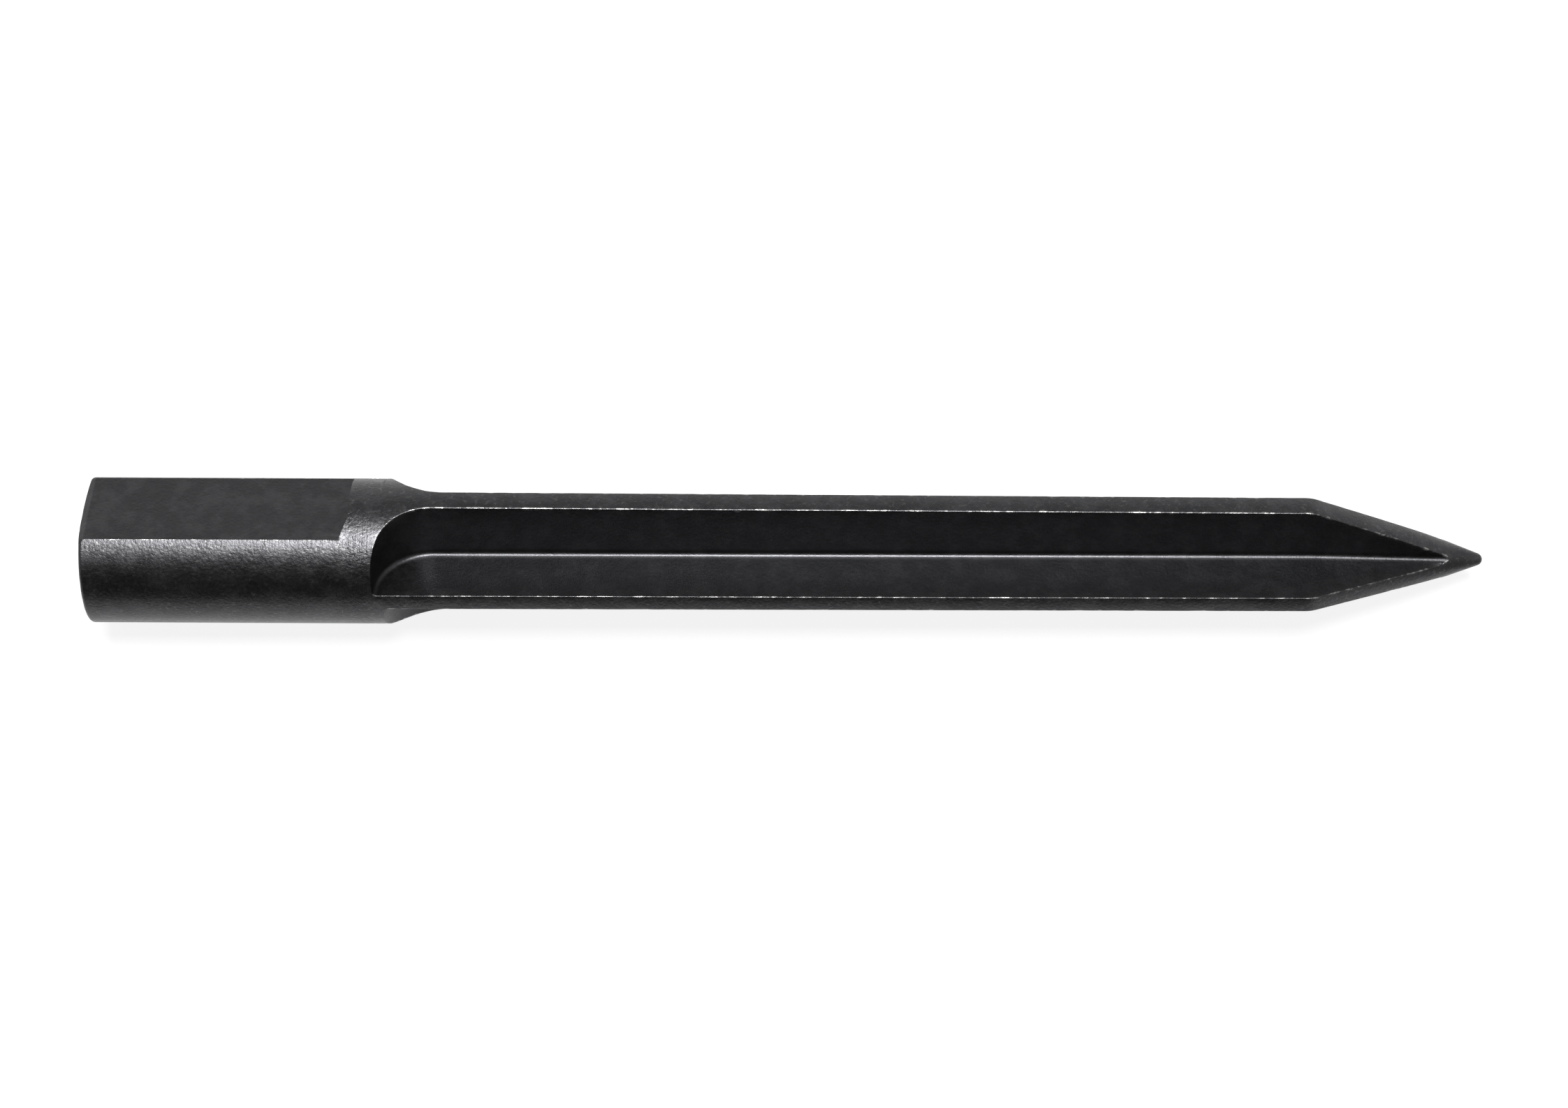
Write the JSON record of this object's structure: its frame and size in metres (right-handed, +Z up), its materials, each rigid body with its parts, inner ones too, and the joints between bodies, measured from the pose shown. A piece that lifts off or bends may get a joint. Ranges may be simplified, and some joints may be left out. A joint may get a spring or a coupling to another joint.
{
  "type": "center punch",
  "caption": "Black steel hand punch with a round flatted shank, a long cross-shaped fluted body and a conical point for marking metal.",
  "frame": {"origin": "on the level surface that the tool lies on, under the middle of its length and width", "axes": "+X along the tool towards its point, +Z up from the surface, +Y across; the flat on the shank faces halfway between +Y and +Z"},
  "size_m": [0.1524, 0.0158, 0.0159],
  "materials": {
    "blackened_steel": "satin black oxide over turned and milled steel, worn brighter along the edges"
  },
  "bodies": {
    "root": {"fluted_punch": "blackened_steel"}
  },
  "joints": []
}
